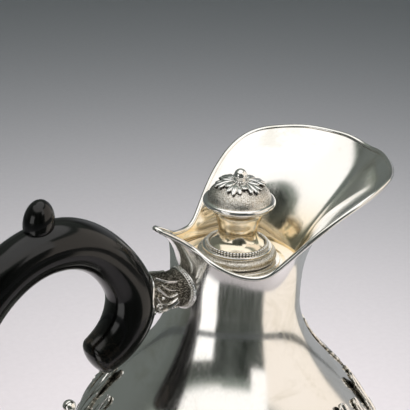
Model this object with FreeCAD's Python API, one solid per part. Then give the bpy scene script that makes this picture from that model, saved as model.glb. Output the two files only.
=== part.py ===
"""Silver water pitcher with an ebony scroll handle and a drop-in lid.

Millimetres. The origin is the centre of the foot's base, +Z is up and +X points along the spout.
Every separate piece of the pitcher is one STEP file in parts/.
"""

import FreeCAD, Part
import math
import os

V = FreeCAD.Vector
Y_AXIS = V(0, 1, 0)
Z_AXIS = V(0, 0, 1)

# ---- driving dimensions ----
WALL = 0.8                  # silver sheet
NECK_R = 29.8               # outer radius of the neck
SEAM_Z = 184.0              # where the mouth is seamed to the neck
LID_Z = 208.0               # top of the step under the lid's knob, the datum of mouth, handle and lid
BELLY_R     = 73.4          # widest outer radius of the belly
BELLY_MID_Z = 95.0          # height of that widest circle
BELLY_BASE_R = 24.0         # flat under the belly, where the foot is soldered on
BELLY_BASE_Z = 31.0
RIM_WIRE_R = 1.15           # applied wire on the mouth's edge
FOOT_R = 46.0               # outer radius of the base rim
SEAT_TOP_Z = LID_Z - 9.1    # top of the seat ring that carries the lid
SEAT_R = 23.6               # clear radius through the seat ring
LEAF_COUNT = 12
GAP = 0.05                  # solder gap between curved pieces of one assembly
LEAF_WALL = 0.7             # metal of an applied leaf
LEAF_RISE = 1.4             # height of a leaf's midrib over its edges
LEAF_CURL = 1.5             # how far a leaf's tip stands off the belly
ROD_R = 1.5                 # rod that holds the knob together
STUD_R = 3.2                # stud of the upper handle mount


# ---- small helpers ----
def rel(height):
    """Height above the foot of a level given from the lid's step."""
    return LID_Z + height


def lerp(a, b, t):
    """Straight blend from a to b."""
    return a + (b - a) * t


def smooth(t):
    """Ease from 0 to 1 with level ends."""
    t = min(max(t, 0.0), 1.0)
    return t * t * (3.0 - 2.0 * t)


def save(name, shape):
    """Write one piece."""
    if not shape.isValid() or shape.Volume <= 0.0:
        raise RuntimeError("bad solid: " + name)
    shape.exportStep("parts/" + name + ".step")
    print(name, round(shape.Volume, 1), len(shape.Solids))


def spline(points):
    """Smooth curve through points."""
    curve = Part.BSplineCurve()
    curve.interpolate(Points=points)
    return curve


def turned(wire):
    """Solid of revolution about Z from a closed wire in the XZ plane."""
    return Part.Solid(Part.Face(wire).revolve(V(0, 0, 0), Z_AXIS, 360).Shells[0])


def turned_polygon(points):
    """Solid of revolution about Z from (radius, height) corners."""
    corners = [V(r, 0, z) for r, z in points]
    return Part.Face(Part.makePolygon(corners + corners[:1])).revolve(V(0, 0, 0), Z_AXIS, 360)


def offset_along(curve, distance, count=24):
    """Points beside a curve of the XZ plane, on its left as it runs, evenly spaced."""
    points = []
    for i in range(count + 1):
        p = lerp(curve.FirstParameter, curve.LastParameter, i / count)
        tangent = curve.tangent(p)[0]
        points.append(curve.value(p) + V(-tangent.z, 0, tangent.x) * distance)
    return points


def spun_shell(curve, wall):
    """Thin shell turned about Z, with its outer face on a curve that runs downwards."""
    inside = offset_along(curve, -wall)
    start, end = curve.StartPoint, curve.EndPoint
    edges = [curve.toShape(), Part.makeLine(end, inside[-1]), edge_through(inside),
             Part.makeLine(inside[0], start)]
    return turned(Part.Wire(Part.__sortEdges__(edges)))


def sheet(grid):
    """Smooth surface through a grid of points."""
    surface = Part.BSplineSurface()
    surface.interpolate(grid)
    return surface


def edge_through(points):
    """Smooth edge through a row of points."""
    return spline(points).toShape()


def border(surface, side):
    """One of the four border edges of a surface: first or last row, left or right column."""
    first_u, last_u, first_v, last_v = surface.bounds()
    curves = {
        "first": lambda: surface.uIso(first_u),
        "last": lambda: surface.uIso(last_u),
        "left": lambda: surface.vIso(first_v),
        "right": lambda: surface.vIso(last_v),
    }
    return curves[side]().toShape()


def bridge(surface_a, surface_b, side):
    """Narrow face between the same border of two surfaces."""
    return Part.makeRuledSurface(border(surface_a, side), border(surface_b, side))


def solid_from(faces):
    """Closed solid sewn from its faces."""
    shape = Part.makeShell(faces)
    shape.sewShape(1e-3)
    solid = Part.Solid(shape.Shells[0])
    if solid.Volume < 0:
        solid.reverse()
    return solid


def panel(outer, inner):
    """Solid between two grids of points that face each other."""
    top, bottom = sheet(outer), sheet(inner)
    faces = [top.toShape(), bottom.toShape()]
    for side in ("first", "last", "left", "right"):
        faces.append(bridge(top, bottom, side))
    return solid_from(faces)


def tube(centres, tangents, radii):
    """Closed tube round a line in the plane y = 0, with its own radius at each station."""
    sides = []
    steps = 12
    for half in (0, 1):
        grid = []
        for centre, tangent, radius in zip(centres, tangents, radii):
            normal = Y_AXIS.cross(tangent).normalize()
            row = []
            for i in range(steps + 1):
                turn = math.pi * (half + i / steps)
                across = normal * math.cos(turn) + Y_AXIS * math.sin(turn)
                row.append(centre + across * radius)
            grid.append(row)
        sides.append(sheet(grid))
    faces = [side.toShape() for side in sides]
    for end in ("first", "last"):
        ring = Part.Wire([border(sides[0], end), border(sides[1], end)])
        faces.append(Part.Face(ring))
    return solid_from(faces)


def stations(curve, count):
    """Evenly spaced points and unit tangents along a curve."""
    first, last = curve.FirstParameter, curve.LastParameter
    params = [lerp(first, last, i / count) for i in range(count + 1)]
    return [curve.value(p) for p in params], [curve.tangent(p)[0] for p in params]


# ---- belly and neck ----
def belly_curve():
    """Outer outline of the pear-shaped body, from the neck seam down to the flat base."""
    points = [
        V(NECK_R, 0, SEAM_Z),
        V(NECK_R + 0.3, 0, SEAM_Z - 5.0),
        V(NECK_R + 2.6, 0, SEAM_Z - 14.0),
        V(NECK_R + 10.2, 0, SEAM_Z - 28.0),
        V(NECK_R + 29.7, 0, SEAM_Z - 50.0),
        V(BELLY_R - 3.2, 0, BELLY_MID_Z + 22.0),
        V(BELLY_R, 0, BELLY_MID_Z),
        V(BELLY_R - 3.4, 0, BELLY_MID_Z - 23.0),
        V(BELLY_R - 13.4, 0, BELLY_MID_Z - 43.0),
        V(BELLY_R - 29.4, 0, BELLY_MID_Z - 57.0),
        V(BELLY_BASE_R, 0, BELLY_BASE_Z),
    ]
    return spline(points)


BELLY = belly_curve()


def belly_point(t, offset=0.0):
    """Point of the body's outline at share t of its length, moved out by offset."""
    p = lerp(BELLY.FirstParameter, BELLY.LastParameter, t)
    tangent = BELLY.tangent(p)[0]
    normal = V(-tangent.z, 0, tangent.x)
    return BELLY.value(p) + normal * offset


def make_belly_shell():
    """Body and neck in one sheet."""
    inside = offset_along(BELLY, -WALL)
    base_in = V(0, 0, inside[-1].z)
    base_out = V(0, 0, BELLY_BASE_Z)
    edges = [
        BELLY.toShape(),
        Part.makeLine(V(BELLY_BASE_R, 0, BELLY_BASE_Z), base_out),
        Part.makeLine(base_out, base_in),
        Part.makeLine(base_in, inside[-1]),
        edge_through(inside),
        Part.makeLine(inside[0], V(NECK_R, 0, SEAM_Z)),
    ]
    return turned(Part.Wire(Part.__sortEdges__(edges)))


# ---- mouth ----
# Angle from the spout, radius from the axis and height from the lid's step, round half the rim.
RIM_STATIONS = (
    (0.0, 71.4, 32.7),
    (9.0, 70.6, 34.0),
    (18.0, 69.0, 34.2),
    (28.0, 67.0, 34.0),
    (38.0, 62.9, 33.2),
    (52.0, 56.1, 30.3),
    (65.0, 46.6, 21.8),
    (79.0, 37.6, 9.2),
    (93.0, 32.3, -1.1),
    (109.0, 30.8, -3.8),
    (131.0, 30.8, -1.1),
    (150.0, 31.2, 3.6),
    (162.0, 31.0, 6.4),
    (171.0, 35.0, 10.2),
    (180.0, 44.3, 16.5),
)
SIDE_FLARE = 4.0            # how late the wall flares outwards at the sides
SPOUT_BELLY = 0.6           # how far the spout's underside bulges before it turns up to its lip
SPOUT_SPREAD = 45.0         # angle from the spout at which that bulge has died out


def rim_curve():
    """Radius (x) and height (y) of the rim against the angle, even about the spout plane."""
    full = [(-a, r, h) for a, r, h in reversed(RIM_STATIONS[1:])] + list(RIM_STATIONS)
    curve = Part.BSplineCurve()
    curve.interpolate(Points=[V(r, h, 0) for _, r, h in full], Parameters=[a for a, _, _ in full])
    return curve


RIM = rim_curve()


def flare(degrees, t):
    """Share of the way from the neck's radius to the rim's radius at share t of the height."""
    bulge = lerp(t * t, smooth(t), SPOUT_BELLY)
    return lerp(bulge, t ** SIDE_FLARE, smooth(abs(degrees) / SPOUT_SPREAD))


def mouth_point(degrees, t):
    """Point of the mouth's outer face, from the neck seam (t = 0) to the rim (t = 1)."""
    v = RIM.value(degrees)
    a = math.radians(degrees)
    radius = lerp(NECK_R, v.x, flare(degrees, t))
    return V(radius * math.cos(a), radius * math.sin(a), lerp(SEAM_Z, rel(v.y), t))


def mouth_normal(degrees, t):
    """Outward direction of the mouth's wall."""
    step = 0.002
    across = mouth_point(degrees + 0.2, t) - mouth_point(degrees - 0.2, t)
    low, high = max(t - step, 0.0), min(t + step, 1.0)
    along = mouth_point(degrees, high) - mouth_point(degrees, low)
    normal = across.cross(along).normalize()
    if t <= 0.0:
        a = math.radians(degrees)
        normal = V(math.cos(a), math.sin(a), 0)
    return normal


def mouth_row(degrees, offset):
    """One rib of the mouth's wall."""
    count = 10
    row = []
    for i in range(count + 1):
        point = mouth_point(degrees, i / count) + mouth_normal(degrees, i / count) * offset
        if degrees in (0.0, 180.0):
            point.y = 0.0
        row.append(point)
    return row


def half_angles():
    """Angles of the ribs, closer together round the rear tongue."""
    return [i * 7.5 for i in range(21)] + [150.0 + i * 3.75 for i in range(1, 9)]


def mirrored(points):
    """The same row of points on the other side of the spout plane."""
    return [V(p.x, -p.y, p.z) for p in points]


def make_mouth_shell():
    """Helmet-shaped mouth, both halves meeting in the spout plane."""
    outer = [mouth_row(a, 0.0) for a in half_angles()]
    inner = [mouth_row(a, -WALL) for a in half_angles()]
    faces = []
    for side in (list, mirrored):
        outside = sheet([side(row) for row in outer])
        inside = sheet([side(row) for row in inner])
        faces += [outside.toShape(), inside.toShape()]
        faces += [bridge(outside, inside, "left"), bridge(outside, inside, "right")]
    return solid_from(faces)


def rim_wire_ring(degrees):
    """Section of the rim wire at an angle from the spout."""
    steps = 16
    out = mouth_normal(degrees, 1.0)
    along = mouth_point(degrees + 0.2, 1.0) - mouth_point(degrees - 0.2, 1.0)
    up = out.cross(along).normalize()
    centre = mouth_point(degrees, 1.0) - out * (WALL / 2) + up * (RIM_WIRE_R * 0.75)
    ring = []
    for i in range(steps + 1):
        turn = 2 * math.pi * (i % steps) / steps
        point = centre + (out * math.cos(turn) + up * math.sin(turn)) * RIM_WIRE_R
        if degrees in (0.0, 180.0):
            point.y = 0.0
        ring.append(point)
    return ring


def make_rim_wire():
    """Round wire soldered along the edge of the mouth."""
    rings = [rim_wire_ring(a) for a in half_angles()]
    return solid_from([sheet([side(ring) for ring in rings]).toShape() for side in (list, mirrored)])


def make_lid_seat():
    """Ring soldered inside the neck, which carries the lid."""
    outer = NECK_R - WALL - GAP
    top = SEAT_TOP_Z
    return turned_polygon([(SEAT_R, top), (outer, top), (outer, top - 5.0), (outer - 1.0, top - 5.0),
                           (outer - 1.6, top - 1.2), (SEAT_R, top - 1.2)])


# ---- leaves on the belly ----
def leaf_top(index):
    """Share of the body's outline at which a leaf's tip lies.

    The front leaf is the tallest, the two beside the handle are next, and the leaf under the handle's
    lower socket stops below it.
    """
    rear = LEAF_COUNT // 2
    if index == 0:
        return 0.14
    if index == rear:
        return 0.53
    if abs(index - rear) == 1:
        return 0.25
    return 0.27


def leaf_half_width(s):
    """Half of a leaf's angle at share s from base to tip, in degrees."""
    root = 14.8 * (0.55 + 0.45 * smooth(s / 0.3))
    taper = (1.0 - smooth((s - 0.62) / 0.38)) ** 0.8
    return max(root * taper, 1.2)


def leaf_point(index, s, w, offset):
    """Point on a leaf: s from base to tip, w from edge to edge, offset from the belly."""
    t = lerp(0.93, leaf_top(index), s)
    radial = belly_point(t, offset)
    a = math.radians(index * 360.0 / LEAF_COUNT + w * leaf_half_width(s))
    return V(radial.x * math.cos(a), radial.x * math.sin(a), radial.z)


def make_leaf(index):
    """One applied leaf that lies on the belly, thickest along its midrib."""
    long_steps, cross_steps = 18, 6
    outer, inner = [], []
    for i in range(long_steps + 1):
        s = i / long_steps
        ws = [lerp(-1.0, 1.0, j / cross_steps) for j in range(cross_steps + 1)]
        lift = [LEAF_RISE * (1 - w * w) + LEAF_CURL * smooth((s - 0.8) / 0.2) for w in ws]
        outer.append([leaf_point(index, s, w, GAP + LEAF_WALL + h) for w, h in zip(ws, lift)])
        inner.append([leaf_point(index, s, w, GAP + h) for w, h in zip(ws, lift)])
    return panel(outer, inner)


# ---- foot ----
def make_foot_collar():
    """Turned collar between belly and foot."""
    low, high = BELLY_BASE_Z - 6.0, BELLY_BASE_Z - GAP
    mid = (low + high) / 2
    bulge = Part.Arc(V(22.5, 0, low), V(25.4, 0, mid), V(22.5, 0, high)).toShape()
    edges = [bulge, Part.makeLine(V(22.5, 0, high), V(17.0, 0, high)),
             Part.makeLine(V(17.0, 0, high), V(17.0, 0, low)),
             Part.makeLine(V(17.0, 0, low), V(22.5, 0, low))]
    return turned(Part.Wire(Part.__sortEdges__(edges)))


FOOT_TOP_Z = BELLY_BASE_Z - 6.3
FOOT_EDGE_Z = 7.0


def make_foot_dome():
    """Spreading foot: a hollow shell that sweeps out from the collar to the base rim."""
    outside = spline([V(21.0, 0, FOOT_TOP_Z), V(21.1, 0, 22.5), V(22.8, 0, 18.0), V(30.5, 0, 13.0),
                      V(38.5, 0, 11.2), V(42.4, 0, FOOT_EDGE_Z)])
    return spun_shell(outside, 1.2)


def make_foot_beading():
    """Beaded wire above the base rim."""
    return Part.makeTorus(43.2, 1.5, V(0, 0, 5.3), Z_AXIS)


def make_foot_rim():
    """Flat base rim on which the pitcher stands."""
    low = [(37.0, 0.0), (FOOT_R - 0.6, 0.0), (FOOT_R, 0.8), (FOOT_R, 2.6), (FOOT_R - 1.2, 3.7)]
    return turned_polygon(low + [(40.6, 3.7), (40.0, 1.6), (37.0, 1.6)])


# ---- handle ----
# Stations of the ebony's centre line in the spout plane: x, height from the lid's step, radius there.
HANDLE_STATIONS = (
    (-74.0, -40.4, 8.9),
    (-66.0, -35.6, 9.9),
    (-59.0, -28.2, 10.8),
    (-55.3, -18.0, 11.3),
    (-56.5, -8.4, 10.7),
    (-62.0, 1.6, 10.2),
    (-72.8, 12.7, 10.3),
    (-87.6, 19.1, 11.2),
    (-103.5, 17.4, 11.1),
    (-117.5, 9.5, 11.1),
    (-128.7, -2.8, 11.0),
    (-136.0, -17.5, 10.7),
    (-139.0, -34.5, 10.1),
    (-136.0, -53.0, 9.4),
    (-125.5, -69.0, 8.7),
    (-108.5, -79.5, 7.9),
    (-90.0, -85.0, 7.4),
)
UPPER_MOUNT_Z = rel(-14.5)
UPPER_SOCKET_X = -43.0      # end of the upper socket against the collar
BELLY_JOIN = V(-62.0, 0, rel(-91.0))
SOCKET_START = 37           # station of the handle, out of 40, where the lower socket begins


def handle_curve():
    """The scroll's centre line."""
    return spline([V(x, 0, rel(h)) for x, h, _ in HANDLE_STATIONS])


def handle_radius(t):
    """Radius of the ebony at share t of its line."""
    spots = [V(x, 0, h) for x, h, _ in HANDLE_STATIONS]
    reach = [0.0]
    for start, end in zip(spots, spots[1:]):
        reach.append(reach[-1] + (end - start).Length)
    along = t * reach[-1]
    i = max(k for k in range(len(spots) - 1) if reach[k] <= along)
    share = (along - reach[i]) / (reach[i + 1] - reach[i])
    return lerp(HANDLE_STATIONS[i][2], HANDLE_STATIONS[i + 1][2], share)


def make_scroll(extra):
    """The handle's scroll, thicker all round by extra."""
    count = 44
    centres, tangents = stations(handle_curve(), count)
    return tube(centres, tangents, [handle_radius(i / count) + extra for i in range(count + 1)])


def make_handle(rivet):
    """Ebony scroll handle with its thumb bud, bored for the stud and the rivet."""
    scroll = make_scroll(0.0)
    stretch = FreeCAD.Matrix()
    stretch.scale(6.7, 6.5, 10.4)
    bud = Part.makeSphere(1.0).transformGeometry(stretch)
    bud.rotate(V(0, 0, 0), Y_AXIS, 8.0)
    bud.translate(V(-100.2, 0, rel(31.5)))
    return scroll.fuse(bud).cut(make_stud()).cut(rivet)


def along_x(points, start_x):
    """Solid of revolution about the level axis of the upper mount, from (offset, radius) corners."""
    corners = [V(start_x + dx, 0, UPPER_MOUNT_Z + r) for dx, r in points]
    face = Part.Face(Part.makePolygon(corners + corners[:1]))
    return face.revolve(V(0, 0, UPPER_MOUNT_Z), V(1, 0, 0), 360)


def make_stud():
    """Stud from the neck through the upper socket into the ebony."""
    return along_x([(0, 0), (0, STUD_R), (28.0, STUD_R), (28.0, 0)], -58.5)


def neck_core():
    """Space taken by the body, used to fit the handle mounts against it."""
    points = offset_along(BELLY, GAP)
    top = V(NECK_R + GAP, 0, SEAM_Z + 22.0)
    edges = [edge_through(points), Part.makeLine(points[0], top),
             Part.makeLine(top, V(0, 0, top.z)),
             Part.makeLine(V(0, 0, top.z), V(0, 0, points[-1].z)),
             Part.makeLine(V(0, 0, points[-1].z), points[-1])]
    return turned(Part.Wire(Part.__sortEdges__(edges)))


def biggest(shape):
    """The largest solid of a cut."""
    return max(shape.Solids, key=lambda solid: solid.Volume)


def make_upper_socket(core, mouth):
    """Cast socket that flares onto the neck and the foot of the mouth."""
    bore = STUD_R + GAP
    outline = [(0, bore), (0, 9.3), (1.5, 9.7), (4.5, 8.7), (8.0, 8.5), (11.5, 9.4), (15.0, 11.2),
               (16.5, 11.2), (16.5, bore)]
    return biggest(along_x(outline, UPPER_SOCKET_X).cut(core).cut(mouth))


def make_upper_collar(sleeve):
    """Plain collar between the upper socket and the ebony, hollowed to fit the scroll."""
    bore = STUD_R + GAP
    blank = along_x([(0, bore), (0, 9.5), (7.0, 9.5), (7.0, bore)], UPPER_SOCKET_X - 7.0)
    return biggest(blank.cut(sleeve))


def make_lower_socket(core, sleeve, rivet):
    """Silver socket that takes the handle's tenon and stands on the belly."""
    handle_points, _ = stations(handle_curve(), 40)
    line = spline(handle_points[SOCKET_START:] + [V(-77.0, 0, rel(-88.6)), BELLY_JOIN])
    count = 16
    centres, tangents = stations(line, count)
    radii = [lerp(9.6, 8.8, smooth(i / 8)) + 4.2 * smooth((i - 8) / 6) for i in range(count + 1)]
    return biggest(tube(centres, tangents, radii).cut(core).cut(sleeve).cut(rivet))


def make_lower_collar(sleeve):
    """Bead round the mouth of the lower socket."""
    centres, tangents = stations(handle_curve(), 40)
    centre, tangent = centres[SOCKET_START], tangents[SOCKET_START]
    bead = Part.makeCylinder(10.4, 2.4, centre - tangent * (2.4 + GAP), tangent)
    bead = bead.makeFillet(1.1, [edge for edge in bead.Edges if edge.Closed])
    return biggest(bead.cut(sleeve))


def make_rivet():
    """Rivet across the lower socket and the tenon."""
    centres, _ = stations(handle_curve(), 40)
    return Part.makeCylinder(1.4, 19.6, centres[-2] - Y_AXIS * 9.8, Y_AXIS)


BALL = V(-85.2, 0, rel(-60.2))
BALL_R = 3.0


def make_lower_scroll(socket, sleeve, ball):
    """Small stem that curls up from the lower socket to the ball."""
    line = spline([V(-84.0, 0, rel(-78.5)), V(-89.0, 0, rel(-71.0)), V(-86.6, 0, rel(-62.6))])
    centres, tangents = stations(line, 6)
    stem = tube(centres, tangents, [lerp(3.6, 1.5, i / 6) for i in range(7)])
    return biggest(stem.cut(socket).cut(sleeve).cut(ball))


# ---- lid ----
def lid_turned(points):
    """Piece of the lid turned about its axis, from (radius, height above the step) corners."""
    return turned_polygon([(r, rel(h)) for r, h in points])


def lid_curve(points):
    """Outline of a lid piece, from (radius, height above the step)."""
    return spline([V(r, 0, rel(h)) for r, h in points])


def rounded_ring(inner_r, edge_r, bulge_r, low, high):
    """Flat ring whose outer edge is an arc."""
    top, bottom = rel(high), rel(low)
    arc = Part.Arc(V(edge_r, 0, bottom), V(bulge_r, 0, (bottom + top) / 2), V(edge_r, 0, top))
    edges = [arc.toShape(), Part.makeLine(V(edge_r, 0, top), V(inner_r, 0, top)),
             Part.makeLine(V(inner_r, 0, top), V(inner_r, 0, bottom)),
             Part.makeLine(V(inner_r, 0, bottom), V(edge_r, 0, bottom))]
    return turned(Part.Wire(Part.__sortEdges__(edges)))


PLATE_LOW = -9.0            # level at which the lid plate rests on the seat
PLATE_TOP = -7.2
DOME_LOW, DOME_HIGH, DOME_R = 22.6, 30.6, 14.2
CLEAR_R = ROD_R + GAP
ROSETTE_HUB_R = 3.5
ROSETTE_NOTCH_R = 6.4         # between two leaves
ROSETTE_TIP_R = 11.3
ROSETTE_LIFT = 0.6            # how far the leaves stand over the dome
NUT_ACROSS = 7.0            # across the flats of the nut under the lid


def make_lid_plate():
    """Round plate that rests on the seat ring, a little raised in the middle."""
    return lid_turned([(CLEAR_R, -8.2), (20.0, -8.2), (22.0, PLATE_LOW), (27.4, PLATE_LOW),
                       (27.4, PLATE_LOW + 1.0), (22.4, PLATE_LOW + 1.0), (20.4, PLATE_TOP),
                       (CLEAR_R, PLATE_TOP)])


def make_lid_bezel():
    """Guide ring under the lid plate."""
    return lid_turned([(22.0, -17.0), (22.9, -17.0), (22.9, PLATE_LOW), (22.0, PLATE_LOW)])


def make_knob_waist():
    """Spool-shaped waist of the knob."""
    outline = lid_curve([(14.0, 18.6), (12.0, 16.8), (10.4, 13.2), (8.9, 6.8), (9.9, 3.4), (12.3, 1.1)])
    return spun_shell(outline, 0.9)


def dome_height(radius):
    """Height of the knob's dome at a distance from the axis."""
    return DOME_LOW + (DOME_HIGH - DOME_LOW) * math.sqrt(max(1.0 - (radius / DOME_R) ** 2.2, 0.0))


def make_knob_dome():
    """Domed cap of the knob."""
    reach = [CLEAR_R + (DOME_R - CLEAR_R) * math.sin(math.pi / 2 * i / 9) for i in range(10)]
    outline = lid_curve([(r, dome_height(r)) for r in reach])
    inside = lid_curve([(r * 0.93, dome_height(r) - 0.9) for r in reach[1:-1]] + [(DOME_R - 1.0, DOME_LOW)])
    start = V(CLEAR_R, 0, rel(DOME_HIGH - 0.95))
    edges = [outline.toShape(), Part.makeLine(outline.EndPoint, inside.EndPoint), inside.toShape(),
             Part.makeLine(inside.StartPoint, start), Part.makeLine(start, outline.StartPoint)]
    return turned(Part.Wire(Part.__sortEdges__(edges)))


def rosette_edge(degrees):
    """Point of the rosette's outline, on the level of the dome's foot."""
    turn = math.radians(degrees)
    radius = lerp(ROSETTE_NOTCH_R, ROSETTE_TIP_R, abs(math.cos(3.0 * turn)))
    return V(radius * math.cos(turn), radius * math.sin(turn), rel(DOME_LOW))


def make_knob_rosette():
    """Six leaves that spread over the dome from one hub, cut from a shell that stands clear of the dome."""
    reach = [ROSETTE_HUB_R + (ROSETTE_TIP_R + 1.2 - ROSETTE_HUB_R) * i / 8 for i in range(9)]
    over = lid_curve([(r, dome_height(r) + ROSETTE_LIFT + 0.9) for r in reach])
    under = lid_curve([(r, dome_height(r) + ROSETTE_LIFT) for r in reversed(reach)])
    tips, hub = Part.makeLine(over.EndPoint, under.StartPoint), Part.makeLine(under.EndPoint, over.StartPoint)
    shell = turned(Part.Wire([over.toShape(), tips, under.toShape(), hub]))
    sides = [edge_through([rosette_edge(30 * k + 5 * i) for i in range(7)]) for k in range(12)]
    plan = Part.Face(Part.Wire(sides)).extrude(V(0, 0, 20))
    return plan.common(shell).Solids[0]


def make_knob_button():
    """Ball on a small ring, screwed down over the dome."""
    ball = Part.makeSphere(2.9, V(0, 0, rel(33.5)))
    neck = lid_turned([(0, 31.9), (1.9, 31.9), (3.3, 31.6), (3.3, 30.8), (0, 30.8)])
    return ball.fuse(neck)


def make_knob_rod():
    """Rod from the button down through the knob and the lid plate."""
    return Part.makeCylinder(ROD_R, 42.8, V(0, 0, rel(-12.4)))


def make_knob_nut():
    """Hexagonal nut under the lid plate."""
    corner = NUT_ACROSS / math.sqrt(3.0)
    turns = [math.radians(60 * i) for i in range(7)]
    corners = [V(corner * math.cos(turn), corner * math.sin(turn), rel(-11.2)) for turn in turns]
    hexagon = Part.Face(Part.makePolygon(corners)).extrude(V(0, 0, 3.0))
    return hexagon.cut(Part.makeCylinder(CLEAR_R, 5.0, V(0, 0, rel(-12.0))))


def save_vessel():
    """Body, mouth, leaves and foot."""
    save("belly_shell", make_belly_shell())
    save("mouth_shell", make_mouth_shell())
    save("rim_wire", make_rim_wire())
    save("lid_seat", make_lid_seat())
    for index in range(LEAF_COUNT):
        save("belly_leaf_%02d" % (index + 1), make_leaf(index))
    save("foot_collar", make_foot_collar())
    save("foot_dome", make_foot_dome())
    save("foot_beading", make_foot_beading())
    save("foot_rim", make_foot_rim())


def save_handle():
    """Ebony handle and its two mounts."""
    rivet = make_rivet()
    handle = make_handle(rivet)
    sleeve = make_scroll(2 * GAP)
    core = neck_core()
    save("handle", handle)
    save("upper_collar", make_upper_collar(sleeve))
    save("upper_socket", make_upper_socket(core, make_mouth_shell()))
    save("upper_stud", biggest(make_stud().cut(core)))
    socket = make_lower_socket(core, sleeve, rivet)
    ball = Part.makeSphere(BALL_R, BALL)
    save("lower_socket", socket)
    save("lower_collar", make_lower_collar(sleeve))
    save("lower_rivet", rivet)
    save("lower_scroll", make_lower_scroll(socket, sleeve, ball))
    save("lower_ball", ball)


def save_lid():
    """Lid and knob."""
    save("lid_plate", make_lid_plate())
    save("lid_bezel", make_lid_bezel())
    save("lid_base_ring", rounded_ring(14.0, 19.4, 19.8, PLATE_TOP, -6.2))
    save("lid_matted_band", rounded_ring(12.0, 16.0, 18.0, -6.2, -1.8))
    save("lid_step", rounded_ring(CLEAR_R, 15.3, 15.9, -1.8, 0.0))
    save("lid_beading", Part.makeTorus(13.5, 0.9, V(0, 0, rel(0.9))))
    save("knob_waist", make_knob_waist())
    save("knob_collar", rounded_ring(CLEAR_R, 15.0, 16.3, 19.7, DOME_LOW))
    save("knob_dome", make_knob_dome())
    save("knob_rosette", make_knob_rosette())
    save("knob_button", make_knob_button())
    save("knob_rod", make_knob_rod())
    save("knob_nut", make_knob_nut())


def main():
    os.makedirs("parts", exist_ok=True)
    save_vessel()
    save_handle()
    save_lid()


main()
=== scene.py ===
"""Looks of the silver water pitcher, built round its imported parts.

Shapes are worked out in millimetres in the parts' own frame (origin under the foot, +Z up, +X along the
spout) and turned into metres when a mesh is made.
"""
import math

import bmesh
import bpy
import numpy as np
from mathutils import Matrix, Vector


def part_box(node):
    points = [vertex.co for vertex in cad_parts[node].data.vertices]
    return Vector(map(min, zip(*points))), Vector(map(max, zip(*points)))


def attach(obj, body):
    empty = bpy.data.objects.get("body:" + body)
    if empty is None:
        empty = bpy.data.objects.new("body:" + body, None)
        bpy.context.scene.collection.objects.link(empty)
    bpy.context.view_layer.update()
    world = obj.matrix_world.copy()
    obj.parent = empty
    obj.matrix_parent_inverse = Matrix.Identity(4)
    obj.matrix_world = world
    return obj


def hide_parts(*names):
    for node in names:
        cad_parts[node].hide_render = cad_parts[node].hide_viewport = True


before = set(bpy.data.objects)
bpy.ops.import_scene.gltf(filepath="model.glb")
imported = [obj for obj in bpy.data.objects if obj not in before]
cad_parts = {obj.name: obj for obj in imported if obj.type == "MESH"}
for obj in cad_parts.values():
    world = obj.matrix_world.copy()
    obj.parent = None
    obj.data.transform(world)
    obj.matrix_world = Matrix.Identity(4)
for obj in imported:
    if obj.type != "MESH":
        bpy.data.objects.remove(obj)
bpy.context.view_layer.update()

MM = 0.001
X, Y, Z = 0, 1, 2
RNG = np.random.default_rng(11)


# ---- sizes taken from the parts, in millimetres ----
def low(node, axis):
    """Lowest coordinate of a part."""
    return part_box(node)[0][axis] / MM


def high(node, axis):
    """Highest coordinate of a part."""
    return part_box(node)[1][axis] / MM


LID_Z = high("lid_step", Z)             # datum of mouth, handle and lid
SEAM_Z = low("mouth_shell", Z)          # where the mouth joins the neck
BELLY_R = high("belly_shell", X)
BELLY_BASE_Z = low("belly_shell", Z)
FOOT_R = high("foot_rim", X)
DOME_LOW = low("knob_dome", Z) - LID_Z
DOME_HIGH = high("knob_dome", Z) - LID_Z
DOME_R = high("knob_dome", X)
PLATE_R = high("lid_plate", X)
PLATE_LOW = low("lid_plate", Z) - LID_Z
SOCKET_X = low("upper_socket", X)       # end of the upper socket against the ebony
BALL = (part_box("lower_ball")[0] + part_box("lower_ball")[1]) / 2 / MM
BALL_R = (high("lower_ball", X) - low("lower_ball", X)) / 2

BORE_R = 1.55                           # hole for the rod through the lid and its knob
WALL = 0.8
NECK_R = 29.8
BELLY_MID_Z = 95.0
BELLY_BASE_R = 24.0
WIRE_R = 1.15
LEAF_COUNT = 12
UPPER_MOUNT_Z = LID_Z - 14.5


def rel(height):
    """Height above the foot of a level given from the lid's step."""
    return LID_Z + height


# ---- mathematics ----
def lerp(a, b, t):
    """Straight blend from a to b."""
    return a + (b - a) * t


def smooth(t):
    """Ease from 0 to 1 with level ends."""
    t = np.clip(t, 0.0, 1.0)
    return t * t * (3.0 - 2.0 * t)


def bump(distance, width):
    """Rounded ridge of height 1."""
    return np.exp(-(distance / width) ** 2)


def pillow(phase):
    """Row of rounded swellings, one for each whole step of phase, with a sharp groove between."""
    share = phase - np.floor(phase)
    return np.sqrt(np.clip(1.0 - (2.0 * share - 1.0) ** 2, 0.0, 1.0))


def unit(vectors):
    """Vectors scaled to length 1."""
    return vectors / np.maximum(np.linalg.norm(vectors, axis=-1, keepdims=True), 1e-12)


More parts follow.
